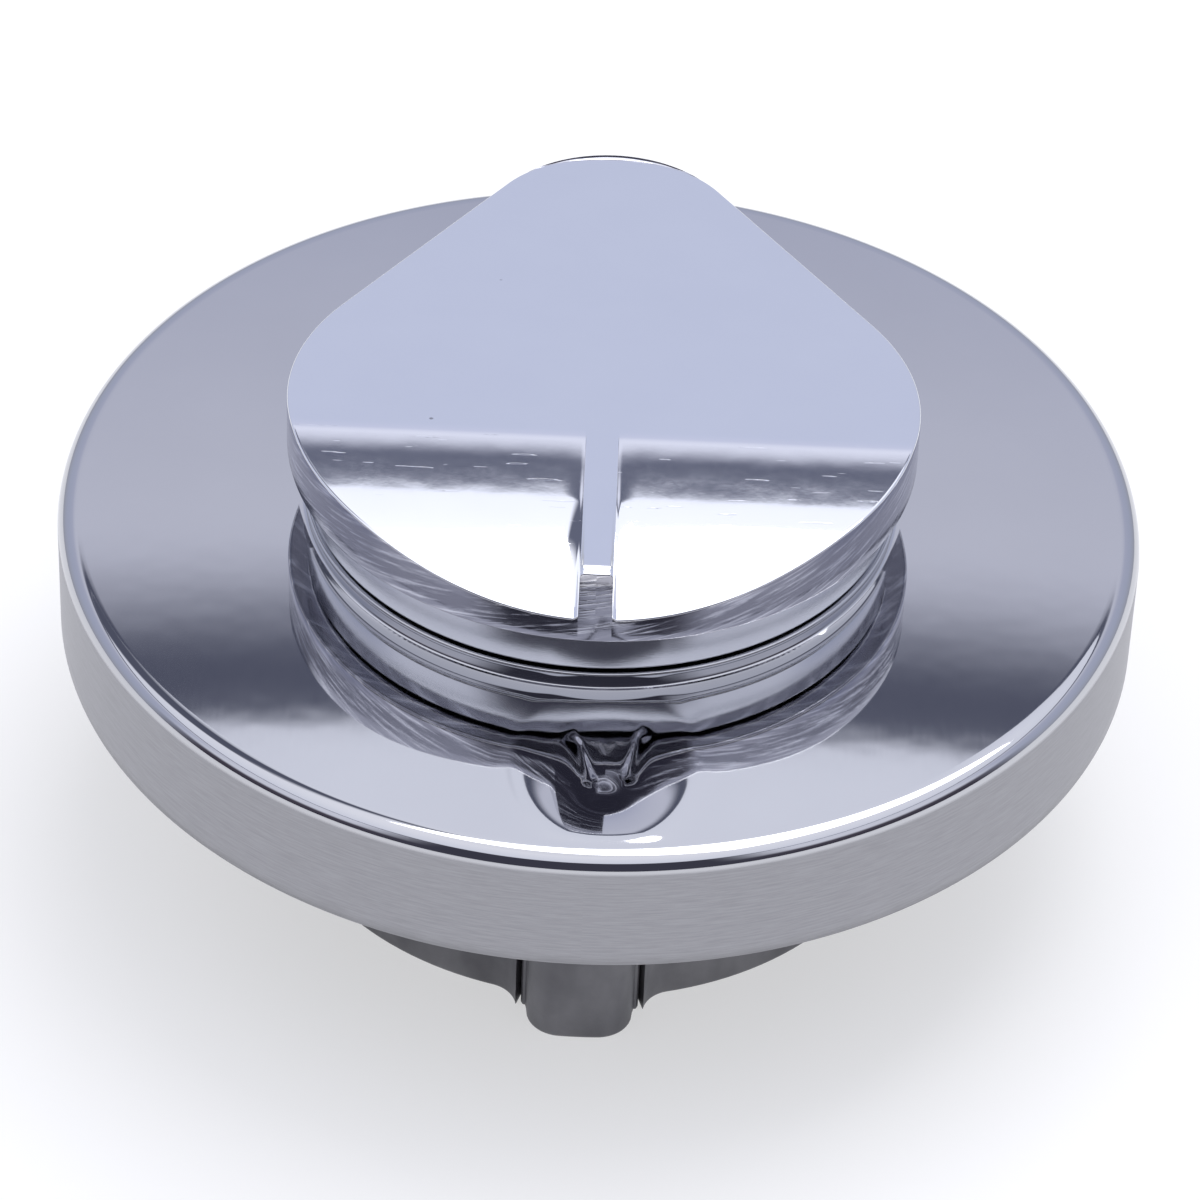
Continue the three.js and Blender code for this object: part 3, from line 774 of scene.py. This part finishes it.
def cover_plate():
    """Bright plating over a hand-polished casting: pits and hair scratches on top, and a rougher flank whose
    colour carries painted shade in streaks.
    """
    finish = Finish("cover_plating", Metallic=1.0)
    normal_up = finish.node("SeparateXYZ", output="Z", Vector=finish.node("NewGeometry", output="Normal"))
    # Faces that lean away from upright: the flank, made rougher and filed, and darkened below with painted shade.
    flank = finish.level(normal_up, 0.25, 0.6, 1.0, 0.0)
    waves = finish.noise(120, 2)
    grain = finish.noise(1500, 4)
    pits = finish.node("TexVoronoi", {"feature": "F1"}, output="Distance", Vector=finish.place, Scale=330.0)
    pit = finish.level(pits, 0.02, 0.09, 1.0, 0.0) * (finish.noise(45, 2) > 0.62)
    scratch_field = finish.noise(900, 2, finish.stretched((0.25, 3.0, 1)), 0.4)
    scratch = finish.level(scratch_field, 0.70, 0.74)
    angle, radius = ring_direction(finish)
    height = finish.axis("Z")
    sheared = height + angle * radius * 0.2
    round_edge = finish.node("CombineXYZ", output="Vector", X=angle * 5, Y=sheared * 2300, Z=0.0)
    file_marks_and_painted_streaks = finish.level(finish.noise(1.0, 3, round_edge, 0.6), 0.45, 0.75)
    top = finish.mix(waves, colour(0.84, 0.85, 0.89), colour(0.88, 0.89, 0.92))
    # Painted shade: on the flank the plating's colour falls to dark grey in streaks along the file marks, standing
    # in for dark reflections; the light streaks keep the plating's own tone.
    side = finish.mix(file_marks_and_painted_streaks, colour(0.40, 0.40, 0.45), colour(0.86, 0.86, 0.90))
    tone = finish.mix(pit * 0.7, top, colour(0.10, 0.10, 0.12))
    bump_height = waves * 0.5 + grain * 0.02 - pit * 0.5 - scratch * 0.1 + file_marks_and_painted_streaks * flank * 0.4
    return finish.set(Base_Color=finish.mix(flank, tone, side),
                      Roughness=0.03 + 0.02 * grain + 0.25 * pit + 0.08 * flank,
                      Normal=finish.bump(bump_height, 0.3, 0.00006)).material


def cast_alloy():
    """Dark, dull die-cast skin with flow marks and cloudy lighter patches."""
    finish = Finish("cast_alloy", Metallic=0.75)
    cloud = finish.noise(90, 5)
    flow = finish.noise(160, 3, finish.stretched((1, 1, 0.35)), 0.6)
    grit = finish.noise(2400, 3)
    tone = finish.ramp(cloud * 0.6 + flow * 0.4, (0.32, colour(0.10, 0.10, 0.112)),
                       (0.52, colour(0.19, 0.19, 0.205)), (0.72, colour(0.31, 0.31, 0.325)))
    return finish.set(Base_Color=tone, Roughness=0.42 + 0.28 * cloud,
                      Normal=finish.bump(grit * 0.5 + flow, 0.35, 0.00012)).material


def plain_metal(name, dark, light, rough, scale=400):
    """A machined or plated metal with faint marks and cloudy tarnish."""
    finish = Finish(name, Metallic=1.0)
    cloud = finish.noise(scale / 5, 4)
    fine = finish.noise(scale * 4, 3, finish.stretched((1, 1, 6)))
    return finish.set(Base_Color=finish.mix(cloud, dark, light), Roughness=rough + 0.14 * cloud,
                      Normal=finish.bump(fine, 0.2, 0.00002)).material


def soft_stuff(name, dark, light, rough, scale, depth):
    """A non-metal with a grained skin: rubber, nylon or a filter pad."""
    finish = Finish(name, Metallic=0.0)
    grain = finish.noise(scale, 5)
    return finish.set(Base_Color=finish.mix(grain, dark, light), Roughness=rough + 0.15 * grain,
                      Normal=finish.bump(grain, 0.4, depth)).material


SHELL_STEEL = shell_steel()
COVER_PLATE = cover_plate()
CAST_ALLOY = cast_alloy()
LOCK_CHROME = plain_metal("lock_chrome", colour(0.72, 0.73, 0.76), colour(0.82, 0.83, 0.86), 0.10)
ZINC = plain_metal("zinc_plate", colour(0.46, 0.45, 0.40), colour(0.66, 0.65, 0.60), 0.28)
BRASS = plain_metal("turned_brass", colour(0.52, 0.36, 0.13), colour(0.72, 0.54, 0.24), 0.22)
SPRING_STEEL = plain_metal("spring_steel", colour(0.42, 0.42, 0.44), colour(0.60, 0.60, 0.62), 0.25)
NITRILE = soft_stuff("nitrile_rubber", colour(0.012, 0.012, 0.013), colour(0.03, 0.03, 0.032), 0.62, 900,
                     0.00003)
NYLON = soft_stuff("natural_nylon", colour(0.60, 0.57, 0.49), colour(0.74, 0.71, 0.63), 0.42, 500, 0.00001)
FELT = soft_stuff("filter_felt", colour(0.20, 0.19, 0.16), colour(0.46, 0.44, 0.38), 0.85, 1600, 0.0001)

SLOT_MATERIALS = {"stainless": SPRING_STEEL, "chrome": LOCK_CHROME, "cast_alloy": CAST_ALLOY,
                  "zinc_plated": ZINC, "brass": BRASS, "nitrile": NITRILE, "nylon": NYLON, "felt": FELT}


# ---- assembly ----
def place(piece, body, slot, material, *nodes):
    """The piece in its material, on the body it moves with, standing in for these nodes."""
    piece.data.materials.clear()
    piece.data.materials.append(material)
    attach(piece, body)
    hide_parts(*nodes)
    return piece


place(make_shell(), "cap_body", "stainless", SHELL_STEEL, "cap_shell")
place(make_cover(), "key_cover", "chrome", COVER_PLATE, "key_cover")
place(make_hub(), "key_cover", "chrome", COVER_PLATE, "key_cover")
place(make_body(), "cap_body", "cast_alloy", CAST_ALLOY, "inner_body")
place(make_gasket(), "cap_body", "nitrile", NITRILE, "neck_gasket")
place(make_collar(), "cap_body", "chrome", LOCK_CHROME, "lock_collar")
place(make_lock_head(), "cap_body", "chrome", LOCK_CHROME, "lock_housing")
for number in range(1, 5):
    screw_node = f"foot_screw_{number}"
    place(make_foot_screw(screw_node), "cap_body", "zinc_plated", ZINC, screw_node)

place(make_breather_coil(), "cap_body", "stainless", SPRING_STEEL, "breather_spring")

for part in frame["record"]["subparts"]:
    node = frame["nodes"][part["node"]]
    node.data.materials.clear()
    node.data.materials.append(SLOT_MATERIALS[part["material_slot"]])

for sharp_node in ("latch_bolt_left", "latch_bolt_right", "foot_cover"):
    softened = frame["nodes"][sharp_node].modifiers.new("broken_edges", "BEVEL")
    softened.width = 0.25 * MM
    softened.segments = 2
    softened.limit_method = "ANGLE"
    softened.angle_limit = math.radians(50)


# ---- stage ----
def make_floor():
    """A wide pale floor that glows a little, so that it stays near white."""
    half = 6.0
    floor = mesh_piece("floor", [(-half, -half, 0), (half, -half, 0), (half, half, 0), (-half, half, 0)],
                       [(0, 1, 2, 3)])
    finish = Finish("pale_floor", Roughness=0.9, Emission_Strength=0.55)
    tone = finish.noise(3, 2)
    finish.set(Base_Color=finish.mix(tone, colour(0.40, 0.40, 0.405), colour(0.42, 0.42, 0.425)),
               Emission_Color=colour(1, 1, 1))
    floor.data.materials.append(finish.material)
    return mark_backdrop(floor)


# Tones of the studio's walls and ceiling by elevation in degrees.
BACK_WALL = ((-90, (0.30, 0.30, 0.33)), (0, (0.50, 0.52, 0.60)), (18, (0.56, 0.60, 0.76)),
             (27, (0.58, 0.62, 0.79)), (34, (0.62, 0.65, 0.82)), (38.5, (0.80, 0.82, 0.96)),
             (90, (0.80, 0.82, 0.96)))
FRONT_WALL = ((-90, (0.30, 0.30, 0.33)), (0, (0.06, 0.055, 0.08)), (16, (0.10, 0.09, 0.12)),
              (24, (0.95, 0.97, 1.10)), (38.2, (0.95, 0.97, 1.10)), (90, (0.95, 0.97, 1.10)))
CEILING = ((-90, (1.05, 1.08, 1.22)), (41, (1.05, 1.08, 1.22)), (75, (1.25, 1.26, 1.36)),
           (90, (1.15, 1.16, 1.25)))
BAND_TONE = (0.12, 0.13, 0.19)
SHADE_TONE = (0.07, 0.07, 0.10)
GAP_TONE = (0.13, 0.14, 0.20)
SEEN_TONE = (0.93, 0.93, 0.94)
WALL_TOP = 39.0
BAND_DARKEST = 40.8
CEILING_EDGE = 41.4


def make_studio():
    """A wrap-round studio: violet-grey walls that darken towards their top, one broad bright ceiling, a dark
    figure's worth of shade in front, and a dark gap at the back left."""
    world = bpy.data.worlds.new("studio")
    bpy.context.scene.world = world
    world.use_nodes = True
    sky = Finish.__new__(Finish)
    sky.tree = world.node_tree
    direction = sky.node("TexCoord", output="Generated")
    across = sky.node("SeparateXYZ", output="X", Vector=direction)
    along = sky.node("SeparateXYZ", output="Y", Vector=direction)
    degrees = 180 / math.pi
    height = sky.node("SeparateXYZ", output="Z", Vector=direction).math("ARCSINE", 0) * degrees
    elevation = height * (1 / 180) + 0.5
    back, front, ceiling = [sky.ramp(elevation, *[(0.5 + angle / 180, colour(*tone)) for angle, tone in zone])
                            for zone in (BACK_WALL, FRONT_WALL, CEILING)]
    walls = sky.mix(sky.level(along, -0.25, 0.1, 1.0, 0.0), back, front)
    walls = sky.mix(sky.level(height, WALL_TOP, BAND_DARKEST), walls, colour(*BAND_TONE))
    room = sky.mix(sky.level(height, CEILING_EDGE, CEILING_EDGE + 0.15), walls, ceiling)
    azimuth = across.math("ARCTAN2", 0 - along) * degrees
    shade = sky.level(azimuth, -50, -28, 0.0, 1.0) * sky.level(azimuth, 24, 44, 1.0, 0.0)
    room = sky.mix(shade * sky.level(height, 42, 44, 1.0, 0.0), room, colour(*SHADE_TONE))
    bearing = across.math("ARCTAN2", along) * degrees
    gap = sky.level(bearing, -48, -38, 0.0, 1.0) * sky.level(bearing, -10, -5.5, 1.0, 0.0)
    gap = gap * sky.level(height, CEILING_EDGE, CEILING_EDGE + 0.2) * sky.level(height, 56, 66, 1.0, 0.0)
    room = sky.mix(gap, room, colour(*GAP_TONE))
    seen = sky.node("LightPath", output="Is Camera Ray")
    background = sky.tree.nodes["Background"]
    sky.feed(background.inputs["Color"], sky.mix(seen, room, colour(*SEEN_TONE)))


def make_lamp(name, place_at, size, power):
    """A square area lamp that points at the origin."""
    lamp = bpy.data.lights.new(name, "AREA")
    lamp.energy = power
    lamp.size = size
    lamp_object = bpy.data.objects.new(name, lamp)
    lamp_object.location = place_at
    lamp_object.rotation_euler = (-Vector(place_at)).to_track_quat("-Z", "Y").to_euler()
    bpy.context.scene.collection.objects.link(lamp_object)


def make_camera():
    """A long lens, looking down at the cap from the front and tilted a little to one side."""
    camera = bpy.data.cameras.new("camera")
    camera.lens = 169.67
    camera.sensor_width = 36
    camera.clip_start = 0.01
    roll = -0.041435
    down = 0.69123
    away = 523.02 * MM
    aim = Vector((0.3759 * MM, 0, 35.5 * MM))
    shift = -9.2406 * MM
    forward = Vector((0, math.cos(down), -math.sin(down)))
    upright = Vector((0, math.sin(down), math.cos(down)))
    level = Vector((1, 0, 0))
    right = level * math.cos(roll) - upright * math.sin(roll)
    up = level * math.sin(roll) + upright * math.cos(roll)
    origin = aim - forward * away + upright * shift
    view = Matrix((right, up, -forward)).transposed().to_4x4()
    view.translation = origin
    camera_object = bpy.data.objects.new("camera", camera)
    bpy.context.scene.collection.objects.link(camera_object)
    camera_object.matrix_world = view
    bpy.context.scene.camera = camera_object


make_floor()
make_studio()
make_lamp("overhead_softbox", (0.15, 0.25, 0.9), 0.6, 4)
make_camera()
bpy.context.scene.view_settings.view_transform = "Standard"
